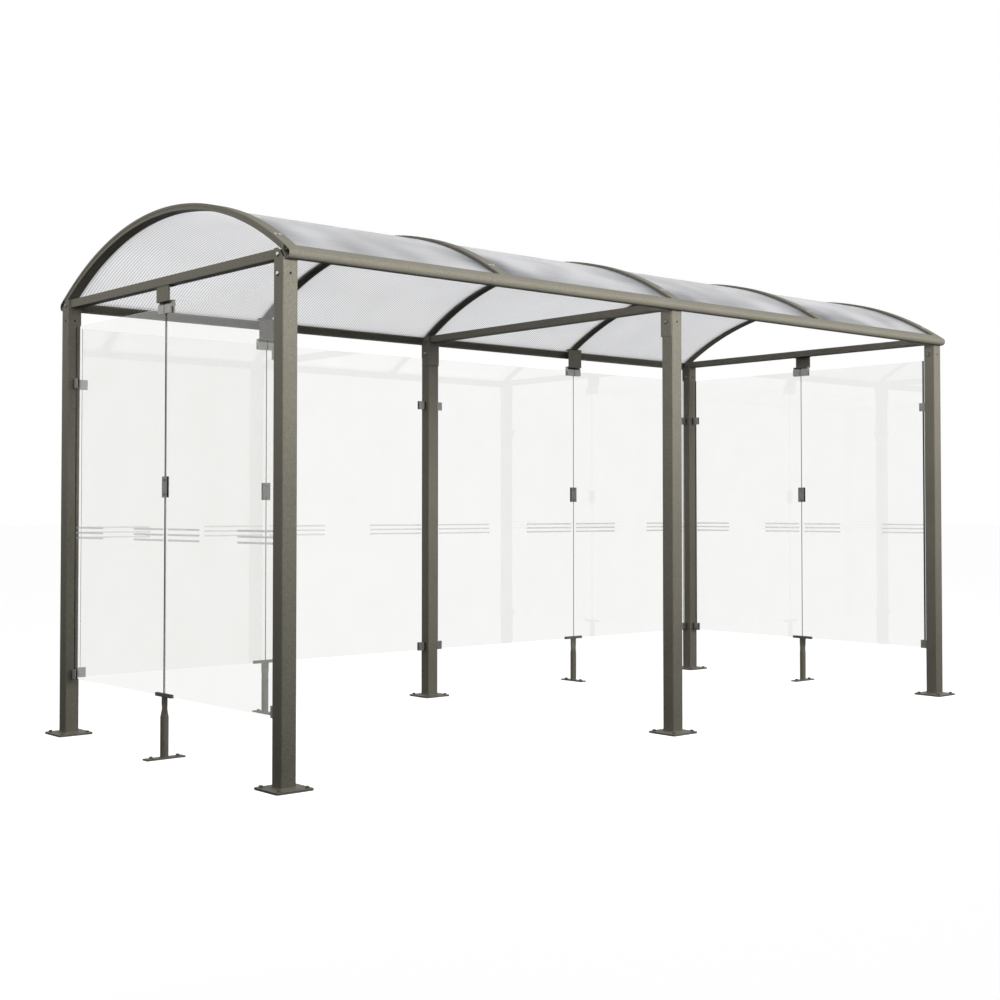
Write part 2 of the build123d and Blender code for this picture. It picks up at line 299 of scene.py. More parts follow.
@dataclass(frozen=True)
class ClearGlass(Finish):
    """Toughened float glass with ground edges.

    It is almost invisible face on, with a faint grey tint that grows where two
    panes overlap, and thin grey lines at its edges. Its reflections are kept
    faint, because the photograph shows none.
    """

    name: str = "toughened_float_glass"
    clean: str = "#F8F8F7"
    wiped: str = "#F4F4F2"
    passed: str = "#EEF1EF"
    streak_mm: float = 260.0
    specular: float = 0.04

    def surface(self, tree: Tree) -> Node:
        """Refract the view, and let lamps and bounced light straight through."""
        place = add_node(tree, "TexCoord").outputs["Object"]
        broad = {"Scale": 1 / (self.streak_mm * MM), "Detail": 2.0}
        streak = add_node(tree, "TexNoise", broad, {"Vector": place})
        tones = {"data_type": "RGBA", 6: linear(self.clean), 7: linear(self.wiped)}
        tint = add_node(tree, "Mix", tones, {"Factor": streak}).outputs[2]
        glass = add_node(
            tree, "BsdfPrincipled",
            {"IOR": 1.52, "Roughness": 0.0, "Transmission Weight": 1.0, "Specular IOR Level": self.specular},
            {"Base Color": tint},
        )
        clear = add_node(tree, "BsdfTransparent", {"Color": linear(self.passed)})
        rays = add_node(tree, "LightPath").outputs
        unseen = add_node(
            tree, "Math", {"operation": "MAXIMUM"}, {0: rays["Is Shadow Ray"], 1: rays["Is Diffuse Ray"]}
        )
        return add_node(tree, "MixShader", links={0: unseen, 1: glass, 2: clear})


@dataclass(frozen=True)
class FrostedPrint(Finish):
    """Screen-printed frosted lines on the glass.

    They let nearly half of the view straight through and scatter the rest, so
    they read as a pale grey on white. A fine grain varies their tone.
    """

    name: str = "frosted_screen_print"
    tone: str = "#F0F2F1"
    thin: str = "#F8F9F8"
    grain_mm: float = 6.0
    cover: float = 0.55

    def surface(self, tree: Tree) -> Node:
        """Vary the tone by a fine grain, and let the uncovered share of the view through."""
        place = add_node(tree, "TexCoord").outputs["Object"]
        fine = {"Scale": 1 / (self.grain_mm * MM), "Detail": 2.0}
        grain = add_node(tree, "TexNoise", fine, {"Vector": place})
        tones = {"data_type": "RGBA", 6: linear(self.tone), 7: linear(self.thin)}
        colour = add_node(tree, "Mix", tones, {"Factor": grain}).outputs[2]
        return add_node(
            tree, "BsdfPrincipled",
            {"IOR": 1.5, "Roughness": 0.35, "Transmission Weight": 0.8, "Alpha": self.cover},
            {"Base Color": colour},
        )


@dataclass(frozen=True)
class Grained(Finish):
    """A solid material whose grain varies its colour, gloss and height.

    The grain can be drawn out along one axis, as brushing does to steel.
    """

    name: str
    tone: str
    worn: str
    metallic: float
    ior: float
    roughness: float
    grain_mm: tuple[float, float, float]
    relief_mm: float

    def surface(self, tree: Tree) -> Node:
        """Stretch a noise to the grain's size, and drive all three from it."""
        place = add_node(tree, "TexCoord").outputs["Object"]
        scale = tuple(1 / (size * MM) for size in self.grain_mm)
        fitted = add_node(tree, "Mapping", {"Scale": scale}, {"Vector": place})
        grain = add_node(tree, "TexNoise", {"Scale": 1.0, "Detail": 3.0}, {"Vector": fitted})
        tones = {"data_type": "RGBA", 6: linear(self.tone), 7: linear(self.worn)}
        colour = add_node(tree, "Mix", tones, {"Factor": grain}).outputs[2]
        gloss = {"To Min": self.roughness - 0.08, "To Max": self.roughness + 0.08}
        rough = add_node(tree, "MapRange", gloss, {"Value": grain})
        relief = {"Strength": 0.3, "Distance": self.relief_mm * MM}
        bump = add_node(tree, "Bump", relief, {"Height": grain})
        return add_node(
            tree, "BsdfPrincipled", {"Metallic": self.metallic, "IOR": self.ior},
            {"Base Color": colour, "Roughness": rough, "Normal": bump},
        )


METAL_IOR = 1.5

# Satin stainless steel, brushed level: bright and soft, with faint flat streaks
STAINLESS = Grained("stainless_steel_satin", "#B7B6B1", "#9C9B96", 1.0, METAL_IOR, 0.46, (40, 40, 1.5), 0.05)
# Cut edges and plates of the joint clips: the same steel, brushed duller and greyer. On the tie bolts of all
# posts but the front left it is the shaded copy of the fixing steel: painted shade
DULL_STEEL = Grained(
    "stainless_steel_brushed_dull", "#9B9A96", "#84837F", 1.0, METAL_IOR, 0.44, (30, 30, 1.5), 0.05
)
# Turned stainless fixings: smoother, so that they glint. On the front-left tie bolts this brighter tone is
# the lit copy of the same bolts: painted light
FIXING = Grained("stainless_steel_fixing", "#E2E1DC", "#C9C8C2", 1.0, METAL_IOR, 0.2, (3, 3, 3), 0.02)
# Hot-dip galvanised anchor bolts: dull grey with a soft spangle
ANCHOR = Grained("galvanised_steel_anchor", "#8B8882", "#6F6C66", 1.0, METAL_IOR, 0.45, (6, 6, 6), 0.05)
# Extruded EPDM rubber: near black and dry, with a light bloom
RUBBER = Grained("epdm_rubber_black", "#1D1D1B", "#2B2B28", 0.0, 1.52, 0.7, (8, 8, 8), 0.05)
# Dark silicone between panes: a thin near-black line with a slightly wet edge
SILICONE = Grained("silicone_joint_anthracite", "#3A3A37", "#2E2E2B", 0.0, 1.41, 0.3, (12, 12, 60), 0.05)
# The unlit inside of tubes and drilled holes, seen as plain dark
HOLLOW = Grained("unlit_tube_inside", "#1C1B19", "#141312", 0.0, 1.5, 0.9, (5, 5, 5), 0.02)

COAT = PowderCoat()
SHEET = OpalMultiwall()
GLASS = ClearGlass()
PRINT = FrostedPrint()


def around(sides: int) -> list[tuple[float, float]]:
    """Return the cosine and the sine of each even step round a circle."""
    return [(math.cos(math.tau * i / sides), math.sin(math.tau * i / sides)) for i in range(sides)]


class Shapes:
    """Collects small closed shapes into one mesh piece."""

    def __init__(self) -> None:
        """Start with an empty mesh."""
        self.mesh = bmesh.new()

    def prism(
        self, outline: list[tuple[float, float]], depth: float, place: Matrix, bevel: float = 0.0
    ) -> None:
        """Extrude a closed outline along the local Z axis.

        Args:
            outline: Corners in order, in metres.
            depth: Length of the prism in metres.
            place: Where the outline's plane goes.
            bevel: Width of the rounding on all edges, in metres.
        """
        low = [self.mesh.verts.new(place @ Vector((u, v, 0.0))) for u, v in outline]
        high = [self.mesh.verts.new(place @ Vector((u, v, depth))) for u, v in outline]
        faces = [self.mesh.faces.new(low[::-1]), self.mesh.faces.new(high)]
        for i, corner in enumerate(low):
            after = (i + 1) % len(low)
            faces.append(self.mesh.faces.new((corner, low[after], high[after], high[i])))
        if bevel:
            edges = list(dict.fromkeys(edge for face in faces for edge in face.edges))
            bmesh.ops.bevel(self.mesh, geom=edges, offset=bevel, segments=2, affect="EDGES", profile=0.5)

    def block(self, one: Vector, two: Vector, bevel: float = 0.0) -> None:
        """Add an upright block.

        Args:
            one: One corner, in metres.
            two: The opposite corner.
            bevel: Width of the rounding on its edges.
        """
        low, high = Vector(map(min, one, two)), Vector(map(max, one, two))
        size = high - low
        outline = [(0.0, 0.0), (size.x, 0.0), (size.x, size.y), (0.0, size.y)]
        self.prism(outline, size.z, Matrix.Translation(low), bevel)

    def turned(self, profile: list[tuple[float, float]], place: Matrix, sides: int = 24) -> None:
        """Turn a profile about the local Z axis.

        Args:
            profile: Radius and height of each ring; the ends lie on the axis.
            place: Where the axis goes.
            sides: Number of sides round the axis.
        """
        rings = [
            [self.mesh.verts.new(place @ Vector((radius * u, radius * v, height))) for u, v in around(sides)]
            for radius, height in profile[1:-1]
        ]
        first = self.mesh.verts.new(place @ Vector((0.0, 0.0, profile[0][1])))
        last = self.mesh.verts.new(place @ Vector((0.0, 0.0, profile[-1][1])))
        for i in range(sides):
            after = (i + 1) % sides
            self.mesh.faces.new((first, rings[0][after], rings[0][i]))
            self.mesh.faces.new((last, rings[-1][i], rings[-1][after]))
            for inner, outer in zip(rings[:-1], rings[1:]):
                self.mesh.faces.new((inner[i], inner[after], outer[after], outer[i]))

    def swept(self, rings: list[list[Vector]], closed: bool = False) -> None:
        """Skin a row of like rings, and cap the ends of an open row.

        Args:
            rings: Points of each ring, all in the same order.
            closed: Whether the last ring joins the first.
        """
        made = [[self.mesh.verts.new(point) for point in ring] for ring in rings]
        pairs = list(zip(made[:-1], made[1:]))
        if closed:
            pairs.append((made[-1], made[0]))
        for before, after in pairs:
            for i in range(len(before)):
                step = (i + 1) % len(before)
                self.mesh.faces.new((before[i], before[step], after[step], after[i]))
        if not closed:
            self.mesh.faces.new(made[0][::-1])
            self.mesh.faces.new(made[-1])

    def piece(self, name: str, finish: Finish, slot: Slot) -> None:
        """Turn what was collected into one named piece on the body.

        Args:
            name: Name of the piece.
            finish: Finish that it wears.
            slot: Slot of the record that it belongs to; not used.
        """
        bmesh.ops.recalc_face_normals(self.mesh, faces=self.mesh.faces)
        data = bpy.data.meshes.new(name)
        self.mesh.to_mesh(data)
        self.mesh.free()
        data.materials.append(finish.material())
        data.set_sharp_from_angle(angle=math.radians(35))
        for polygon in data.polygons:
            polygon.use_smooth = True
        made = bpy.data.objects.new(name, data)
        bpy.context.scene.collection.objects.link(made)
        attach(made, BODY)
        log.info("made %s with %d faces", name, len(data.polygons))


def middle(node: str) -> Vector:
    """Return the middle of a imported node's box."""
    low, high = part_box(node)
    return (low + high) / 2


def facing(origin: Vector, axis: Vector) -> Matrix:
    """Return a placement at a point, whose local Z axis points along an axis."""
    return Matrix.Translation(origin) @ axis.to_track_quat("Z", "Y").to_matrix().to_4x4()


def dress(node: str, finish: Finish, edge_mm: float = 0.0) -> None:
    """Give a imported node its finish, and round its sharp edges a little.

    Args:
        node: Name of the node.
        finish: Finish that it wears.
        edge_mm: Width of the rounding in millimetres, or 0 for none.
    """
    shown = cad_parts[node]
    shown.data.materials.clear()
    shown.data.materials.append(finish.material())
    if edge_mm:
        weld = shown.modifiers.new("seam_weld", "WELD")
        weld.merge_threshold = 0.01 * MM
        bevel = shown.modifiers.new("edge_rounding", "BEVEL")
        bevel.width = edge_mm * MM
        bevel.segments = 2
        bevel.limit_method = "ANGLE"
        bevel.angle_limit = math.radians(40)
        even = shown.modifiers.new("even_shading", "WEIGHTED_NORMAL")
        even.keep_sharp = True
    log.info("dressed %s", node)


@dataclass
class Fixings:
    """Bolts and screws by their real sizes, in millimetres."""

    hex_across: float = 18.0
    hex_height: float = 7.5
    hex_edge: float = 0.3
    crown_height: float = 1.2
    crown_edge: float = 0.5
    crown_share: float = 0.95
    washer_radius: float = 12.0
    washer_height: float = 2.5
    washer_edge: float = 0.4
    button_radius: float = 7.0
    button_height: float = 3.9
    socket_radius: float = 2.6
    socket_depth: float = 2.2
    dome_radius: float = 11.0
    dome_height: float = 4.6
    seat_radius: float = 14.0
    seat_height: float = 0.9

    def hex_bolt(self, shapes: Shapes, origin: Vector, axis: Vector) -> None:
        """Add a washer and a hexagon head with its turned crown.

        Args:
            shapes: Mesh that gets the bolt.
            origin: Middle of the washer's seat.
            axis: Direction out of the seat.
        """
        place = facing(origin, axis)
        ring, rise = self.washer_radius * MM, self.washer_height * MM
        edge = self.washer_edge * MM
        shapes.turned([(0, 0), (ring, 0), (ring, rise - edge), (ring - edge, rise), (0, rise)], place)
        corner = self.hex_across / math.sqrt(3) * MM
        crown = self.hex_across / 2 * self.crown_share * MM
        top = rise + self.hex_height * MM
        shoulder = top - self.crown_edge * MM
        head = [(corner * u, corner * v) for u, v in around(6)]
        seat = place @ Matrix.Translation((0, 0, rise))
        shapes.prism(head, (self.hex_height - self.crown_height) * MM, seat, self.hex_edge * MM)
        shapes.turned([(0, rise), (crown, rise), (crown, shoulder), (crown * 0.9, top), (0, top)], place)

    def button_screw(self, shapes: Shapes, origin: Vector, axis: Vector) -> None:
        """Add a domed screw head with a round socket in it.

        Args:
            shapes: Mesh that gets the screw.
            origin: Middle of the head's seat.
            axis: Direction out of the seat.
        """
        radius, height = self.button_radius * MM, self.button_height * MM
        socket, floor = self.socket_radius * MM, (self.button_height - self.socket_depth) * MM
        profile = [(0.0, 0.0), (radius, 0.0)]
        for step in (1, 2, 3):
            lean = step / 4 * math.pi / 2
            profile.append((socket + (radius - socket) * math.cos(lean), height * math.sin(lean)))
        profile += [(socket, height), (socket, floor), (0.0, floor)]
        shapes.turned(profile, facing(origin, axis), 20)

    def dome(self, shapes: Shapes, origin: Vector, axis: Vector) -> None:
        """Add a full dome head, as on a sleeve bolt.

        Args:
            shapes: Mesh that gets the head.
            origin: Middle of its seat.
            axis: Direction out of the seat.
        """
        radius, height = self.dome_radius * MM, self.dome_height * MM
        profile = [(0.0, 0.0), (radius, 0.0), (radius, height * 0.2)]
        for step in (1, 2, 3, 4):
            lean = step / 5 * math.pi / 2
            profile.append((radius * math.cos(lean), height * (0.2 + 0.8 * math.sin(lean))))
        profile.append((0.0, height))
        shapes.turned(profile, facing(origin, axis))

    def disc(
        self, shapes: Shapes, origin: Vector, axis: Vector, radius_mm: float, height_mm: float
    ) -> None:
        """Add a flat disc with a broken edge.

        Args:
            shapes: Mesh that gets the disc.
            origin: Middle of its seat.
            axis: Direction out of the seat.
            radius_mm: Its radius in millimetres.
            height_mm: Its height in millimetres.
        """
        radius, height = radius_mm * MM, height_mm * MM
        profile = [(0.0, 0.0), (radius, 0.0), (radius, height * 0.6), (radius - height * 0.4, height)]
        shapes.turned([*profile, (0.0, height)], facing(origin, axis))


FIXINGS = Fixings()


@dataclass
class Posts:
    """Six square posts on base plates, with their bolts, welds and tie bolts."""

    names: tuple[str, ...] = (
        "front_left", "front_middle", "front_right", "back_left", "back_middle", "back_right"
    )
    width_mm: float = 80.0
    corner_mm: float = 6.0
    plate_mm: float = 10.0
    anchor_spacing_mm: float = 150.0
    weld_mm: float = 5.0
    weld_ripple: float = 0.12
    weld_ripples: int = 7
    weld_throat: float = 0.45
    cross_bolt_drop_mm: float = 118.0
    top_bolt_drop_mm: float = 30.0
    saddle_mm: float = 4.3
    bolt_set_back_mm: float = 6.0
    face_hole_radius_mm: float = 6.0
    open_holes: tuple[str, ...] = ("back_left",)
    open_hole_radius_mm: float = 7.0
    hole_mm: float = 0.3
    # Posts whose tie bolt heads get the bright steel as painted light; the rest get the duller steel as
    # painted shade
    lit_copy_heads: tuple[str, ...] = ("front_left",)

    def build(self) -> None:
        """Dress each post and add its anchors, weld and cross bolts."""
        for name in self.names:
            node = f"post_{name}"
            dress(node, COAT, 0.8)
            low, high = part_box(node)
            foot = Vector(((low.x + high.x) / 2, (low.y + high.y) / 2, self.plate_mm * MM))
            self.anchors(name, foot)
            self.weld(name, foot)
            self.cross_bolts(name, foot, high.z)

    def anchors(self, name: str, foot: Vector) -> None:
        """Add the four anchor bolts of a base plate.

        Args:
            name: Which post.
            foot: Middle of the post on its plate.
        """
        shapes = Shapes()
        half = self.anchor_spacing_mm / 2 * MM
        for side_x in (-1, 1):
            for side_y in (-1, 1):
                FIXINGS.hex_bolt(shapes, foot + Vector((side_x * half, side_y * half, 0)), UP)
        shapes.piece(f"anchor_bolts_{name}", ANCHOR, Slot.FITTINGS)

    def weld(self, name: str, foot: Vector) -> None:
        """Run a fillet weld round the foot of a post.

        Args:
            name: Which post.
            foot: Middle of the post on its plate.
        """
        half, corner, leg = self.width_mm / 2 * MM, self.corner_mm * MM, self.weld_mm * MM
        away = Vector((half - corner, half - corner, 0))
        rings = []
        steps = 6
        for quarter in range(4):
            centre_turn = math.pi / 2 * quarter
            centre = foot + Matrix.Rotation(centre_turn, 3, "Z") @ away
            for i in range(steps + 1):
                turn = centre_turn + math.pi / 2 * i / steps
                out = Vector((math.cos(turn), math.sin(turn), 0))
                ripple = 1 + self.weld_ripple * math.sin(self.weld_ripples * turn)
                edge = centre + out * corner
                throat = edge + (out + UP) * leg * self.weld_throat * ripple
                rings.append([edge - out * MM, edge + UP * leg * ripple, throat, edge + out * leg * ripple])
        shapes = Shapes()
        shapes.swept(rings, closed=True)
        shapes.piece(f"weld_{name}", COAT, Slot.FRAME)

    def cross_bolts(self, name: str, foot: Vector, top: float) -> None:
        """Add the bolts through the top of a post, on both of its X faces.

        Args:
            name: Which post.
            foot: Middle of the post on its plate.
            top: Height of the top of the post.
        """
        heads, seats, holes = Shapes(), Shapes(), Shapes()
        half = self.width_mm / 2 * MM
        for side in (-1, 1):
            out = Vector((side, 0, 0))
            reach = side * half
            if name.endswith("middle"):
                reach += side * self.saddle_mm * MM
            for drop in (self.cross_bolt_drop_mm, self.top_bolt_drop_mm):
                set_back = math.copysign(self.bolt_set_back_mm * MM, -foot.y)
                seat = Vector((foot.x + reach, foot.y + set_back, top - drop * MM))
                if name in self.open_holes and drop == self.cross_bolt_drop_mm and side < 0:
                    FIXINGS.disc(holes, seat, out, self.open_hole_radius_mm, self.hole_mm)
                    continue
                FIXINGS.disc(seats, seat, out, FIXINGS.seat_radius, FIXINGS.seat_height)
                FIXINGS.dome(heads, seat + out * FIXINGS.seat_height * MM, out)
        hole = Vector((foot.x, foot.y - half, top - self.cross_bolt_drop_mm * MM))
        FIXINGS.disc(holes, hole, Vector((0, -1, 0)), self.face_hole_radius_mm, self.hole_mm)
        # Painted light and shade: the same bolts get the bright steel on the front-left post and the duller,
        # darker steel on the others
        steel = FIXING if name in self.lit_copy_heads else DULL_STEEL
        heads.piece(f"tie_bolts_{name}", steel, Slot.FITTINGS)
        seats.piece(f"tie_bolt_washers_{name}", RUBBER, Slot.FITTINGS)
        holes.piece(f"dark_holes_{name}", HOLLOW, Slot.FRAME)


@dataclass
class Roof:
    """Arches with their caps' screws and gaskets, and the curved sheets between them."""

    arches: tuple[str, ...] = ("left_end", "left_bay", "middle", "right_bay", "right_end")
    sheets: tuple[str, ...] = ("left_outer", "left_inner", "right_inner", "right_outer")
    rails: tuple[str, ...] = (
        "tie_beam_left", "tie_beam_middle", "tie_beam_right", "eave_front", "eave_back"
    )
    outer_radius_mm: float = 2100.0
    sheet_below_arch_mm: float = 14.0
    sheet_mm: float = 10.0
    cap_lip_mm: float = 3.0
    gasket_mm: float = 2.5
    half_angle: float = 32.6
    screw_angle: float = 29.8
    screw_side_mm: float = 12.0

    def build(self) -> None:
        """Dress arches, sheets, ties and eaves, and add screws and gaskets."""
        for name in self.arches:
            dress(f"arch_{name}", COAT, 0.8)
            self.screws(name)
            self.gaskets(name)
        for name in self.sheets:
            dress(f"roof_sheet_{name}", SHEET)
        for name in self.rails:
            dress(name, COAT, 0.8)

    def centre(self, name: str) -> Vector:
        """Return the centre of an arch's curve, at the middle of its width."""
        low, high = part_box(f"arch_{name}")
        return Vector(((low.x + high.x) / 2, (low.y + high.y) / 2, high.z - self.outer_radius_mm * MM))

    def screws(self, name: str) -> None:
        """Add the pair of cap screws near each end of an arch.

        Args:
            name: Which arch.
        """
        shapes = Shapes()
        centre = self.centre(name)
        for end in (-1, 1):
            lean = end * math.radians(self.screw_angle)
            out = Vector((0, math.sin(lean), math.cos(lean)))
            for side in (-1, 1):
                aside = Vector((side * self.screw_side_mm * MM, 0, 0))
                FIXINGS.button_screw(shapes, centre + out * self.outer_radius_mm * MM + aside, out)
        shapes.piece(f"cap_screws_{name}", FIXING, Slot.FITTINGS)

    def gaskets(self, name: str) -> None:
        """Run rubber gaskets between an arch and its sheets, above and below.

        Args:
            name: Which arch.
        """
        low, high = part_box(f"arch_{name}")
        centre = self.centre(name)
        top = (self.outer_radius_mm - self.sheet_below_arch_mm) * MM
        under = top - self.sheet_mm * MM
        size = self.gasket_mm * MM
        shapes = Shapes()
        for side, face in ((-1, low.x), (1, high.x)):
            if (name, side) in (("left_end", -1), ("right_end", 1)):
                continue
            lower_face = face - side * self.cap_lip_mm * MM
            self.band(shapes, centre, face - side * MM, face + side * size, top, top + size)
            self.band(shapes, centre, lower_face - side * MM, lower_face + side * size, under - size, under)
        shapes.piece(f"gaskets_{name}", RUBBER, Slot.ROOF_SHEET)

    def band(
        self, shapes: Shapes, centre: Vector, near: float, far: float, inner: float, outer: float
    ) -> None:
        """Sweep one strip over the curve of the roof.

        Args:
            shapes: Mesh that gets the strip.
            centre: Centre of the roof's curve.
            near: X of the strip's side in the groove.
            far: X of the strip's free side.
            inner: Radius of its underside.
            outer: Radius of its top.
        """
        flat = Vector((0, centre.y, centre.z))
        corners = (
            (near, inner), (far, inner), (far, (inner + outer) / 2), ((near + far) / 2, outer), (near, outer)
        )
        steps = 64
        rings = []
        for i in range(steps + 1):
            lean = math.radians(self.half_angle) * (2 * i / steps - 1)
            out = Vector((0, math.sin(lean), math.cos(lean)))
            rings.append([flat + out * radius + Vector((x, 0, 0)) for x, radius in corners])
        shapes.swept(rings)


@dataclass
class Joint:
    """One vertical glass joint: its place and the way its wall runs."""

    name: str

    @property
    def centre(self) -> Vector:
        """Middle of the joint on the ground."""
        found = middle(f"foot_{self.name}")
        return Vector((found.x, found.y, 0.0))

    @property
    def in_x(self) -> bool:
        """Whether the glass runs along the shelter."""
        return self.name.startswith("back")

    @property
    def along(self) -> Vector:
        """Direction in which the glass runs."""
        return Vector((1, 0, 0)) if self.in_x else Vector((0, 1, 0))

    @property
    def across(self) -> Vector:
        """Direction through the glass."""
        return Vector((0, 1, 0)) if self.in_x else Vector((1, 0, 0))

    def block(
        self, shapes: Shapes, run: tuple[float, float], depth: tuple[float, float],
        height: tuple[float, float], bevel: float = 0.0,
    ) -> None:
        """Add a block given along, across and up from the joint, in metres.

        Args:
            shapes: Mesh that gets the block.
            run: From and to along the glass.
            depth: From and to through the glass.
            height: From and to above the ground.
            bevel: Width of the rounding on its edges.
        """
        one, two = (
            self.centre + self.along * run[i] + self.across * depth[i] + UP * height[i] for i in (0, 1)
        )
        shapes.block(one, two, bevel)


JOINTS = tuple(Joint(name) for name in ("left_end", "back_left", "back_right", "right_end"))


@dataclass
class Glazing:
    """Glass panes with their printed lines and the silicone in their joints."""

    panes: tuple[str, ...] = (
        "left_end_front", "left_end_back", "back_1", "back_2", "back_3", "back_4",
        "right_end_front", "right_end_back",
    )
    line_levels_mm: tuple[float, ...] = (1162.0, 1134.0, 1106.0)
    line_height_mm: float = 10.0
    line_thickness_mm: float = 0.3
    line_gap_mm: float = 0.2
    joint_margin_mm: float = 20.0
    post_margin_mm: float = 6.0
    bare_width_mm: float = 356.0
    seal_width_mm: float = 5.4
    seal_depth_mm: float = 9.0
    glass_mm: float = 8.0
    # Joints filled with near-black rubber and capped on both faces, darker than the silicone elsewhere:
    # painted shade over a real dark joint
    shade_capped_joints: tuple[str, ...] = ("left_end",)
    cap_half_width_mm: float = 5.0
    cap_rise_mm: float = 0.6
    trim_mm: float = 1.5
    trim_lip_mm: float = 6.0
    trim_skin_mm: float = 0.6
    clearance_mm: float = 0.05

    def build(self) -> None:
        """Dress the panes, print their lines and fill their joints."""
        for name in self.panes:
            dress(f"glass_{name}", GLASS)
            self.lines(name)
            if "end" in name:
                self.edge_trim(name)
        for joint in JOINTS:
            self.seal(joint)

    def lines(self, name: str) -> None:
        """Print three lines on a pane, with a bare stretch in the middle.

        Args:
            name: Which pane.
        """
        low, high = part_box(f"glass_{name}")
        runs_in_x = high.x - low.x > high.y - low.y
        start, end = (low.x, high.x) if runs_in_x else (low.y, high.y)
        joint_near_start = min(abs(start - self.joint_line(j, runs_in_x)) for j in JOINTS) < 10 * MM
        margins = (self.joint_margin_mm, self.post_margin_mm)
        first, last = margins if joint_near_start else margins[::-1]
        centre = (start + end) / 2
        half_bare = self.bare_width_mm / 2 * MM
        stretches = ((start + first * MM, centre - half_bare), (centre + half_bare, end - last * MM))
        inward = math.copysign(MM, -low.y if runs_in_x else -low.x)
        face = self.inner_face(low, high, runs_in_x) + self.line_gap_mm * inward
        skin = face + self.line_thickness_mm * inward
        shapes = Shapes()
        for level in self.line_levels_mm:
            bottom = (level - self.line_height_mm / 2) * MM
            top = bottom + self.line_height_mm * MM
            for near, far in stretches:
                if runs_in_x:
                    shapes.block(Vector((near, face, bottom)), Vector((far, skin, top)))
                else:
                    shapes.block(Vector((face, near, bottom)), Vector((skin, far, top)))
        shapes.piece(f"printed_lines_{name}", PRINT, Slot.GLASS)

    def joint_line(self, joint: Joint, runs_in_x: bool) -> float:
        """Return where a joint stands along a wall."""
        return joint.centre.x if runs_in_x else joint.centre.y

    def inner_face(self, low: Vector, high: Vector, runs_in_x: bool) -> float:
        """Return the place of a pane's face that looks into the shelter.

        Args:
            low: Lowest corner of the pane.
            high: Highest corner of the pane.
            runs_in_x: Whether the pane runs along the shelter.

        Returns:
            Its Y where the pane runs along the shelter, and its X elsewhere.
        """
        if runs_in_x:
            return low.y
        return high.x if high.x < 0 else low.x

    def seal(self, joint: Joint) -> None:
        """Fill a joint with silicone, below and above its clip. The left-end joint gets near-black rubber
        instead, capped on both faces, which adds painted shade to the real dark joint.

        Args:
            joint: Which glass joint.
        """
        half = self.seal_width_mm / 2 * MM
        deep = self.seal_depth_mm / 2 * MM
        cap = self.cap_half_width_mm * MM
        clip_low, clip_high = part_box("joint_clips")
        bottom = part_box("glass_back_1")[0].z
        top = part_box(f"head_clamps_{joint.name}")[0].z
        shade_capped = joint.name in self.shade_capped_joints
        shapes = Shapes()
        for height in ((bottom, clip_low.z), (clip_high.z, top)):
            joint.block(shapes, (-half, half), (-deep, deep), height, 0.8 * MM)
            for face in (-1, 1) if shade_capped else ():
                skin = (
                    face * (self.glass_mm / 2 + self.clearance_mm) * MM, face * (deep + self.cap_rise_mm * MM)
                )
                joint.block(shapes, (-cap, cap), skin, height)
        shapes.piece(f"joint_seal_{joint.name}", RUBBER if shade_capped else SILICONE, Slot.GLASS)

    def edge_trim(self, name: str) -> None:
        """Cover the edge of an end-wall pane that faces a post with a thin dark trim.

        Args:
            name: Which pane.
        """
        low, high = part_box(f"glass_{name}")
        trim, lip = self.trim_mm * MM, self.trim_lip_mm * MM
        skin, gap = self.trim_skin_mm * MM, self.clearance_mm * MM
        at_front = name.endswith("front")
        near, far = (low.y - trim, low.y + lip) if at_front else (high.y - lip, high.y + trim)
        outer = (near, low.y - gap) if at_front else (high.y + gap, far)
        sides = (
            (low.x - skin, low.x - gap, near, far), (high.x + gap, high.x + skin, near, far),
            (low.x - skin, high.x + skin, *outer),
        )
        shapes = Shapes()
        for left, right, start, end in sides:
            shapes.block(Vector((left, start, low.z)), Vector((right, end, high.z)))
        shapes.piece(f"edge_trim_{name}", SILICONE, Slot.GLASS)


